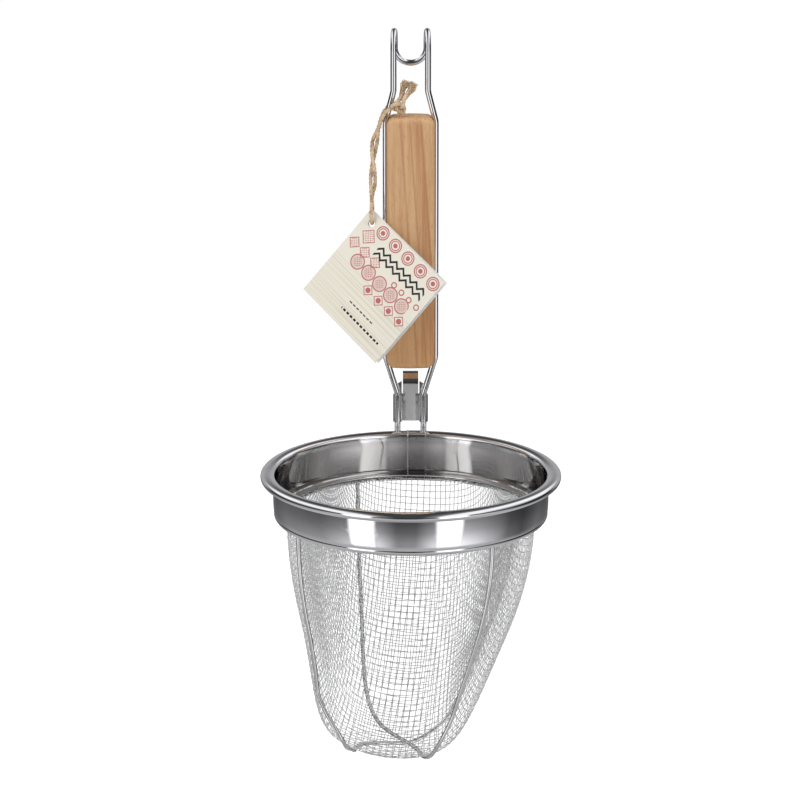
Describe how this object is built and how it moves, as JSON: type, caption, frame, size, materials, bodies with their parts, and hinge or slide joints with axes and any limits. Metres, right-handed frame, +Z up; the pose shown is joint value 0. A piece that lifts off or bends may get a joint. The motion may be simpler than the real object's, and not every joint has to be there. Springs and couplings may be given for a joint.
{
  "type": "noodle strainer",
  "caption": "Noodle strainer: a deep wire cloth basket in a rolled steel rim, on a bent wire handle with a wooden grip, a hanging hook and a card tag on twine.",
  "frame": {"origin": "where the handle's hook rests on a bar: the underside of its top bend, midway between its two legs", "axes": "+Z up along the handle, +X to the right as seen from the basket's side, -Y from the handle towards the basket"},
  "size_m": [0.1398, 0.1553, 0.3339],
  "materials": {
    "polished_steel": "polished stainless steel",
    "brushed_steel": "drawn stainless wire and sheet",
    "cloth_steel": "woven stainless wire",
    "beech": "sanded, unvarnished",
    "card": "uncoated printed card",
    "jute": "twisted jute"
  },
  "bodies": {
    "strainer": {"handle_wire": "polished_steel", "wooden_grip": "beech", "wire_clip": "brushed_steel", "rim_collar": "polished_steel", "mesh_clamp_ring": "polished_steel", "mesh_basket": "cloth_steel", "rib_wire_1": "brushed_steel", "rib_wire_2": "brushed_steel", "tag_twine": "jute", "twine_knot": "jute"},
    "tag": {"tag_card": "card"}
  },
  "joints": [
    {"name": "tag_swing", "type": "hinge", "parent": "strainer", "child": "tag", "pos_m": [-0.01824, -0.01343, -0.08821], "axis": [0.4035, 0.8804, -0.2491], "range_deg": [-45, 45]}
  ]
}
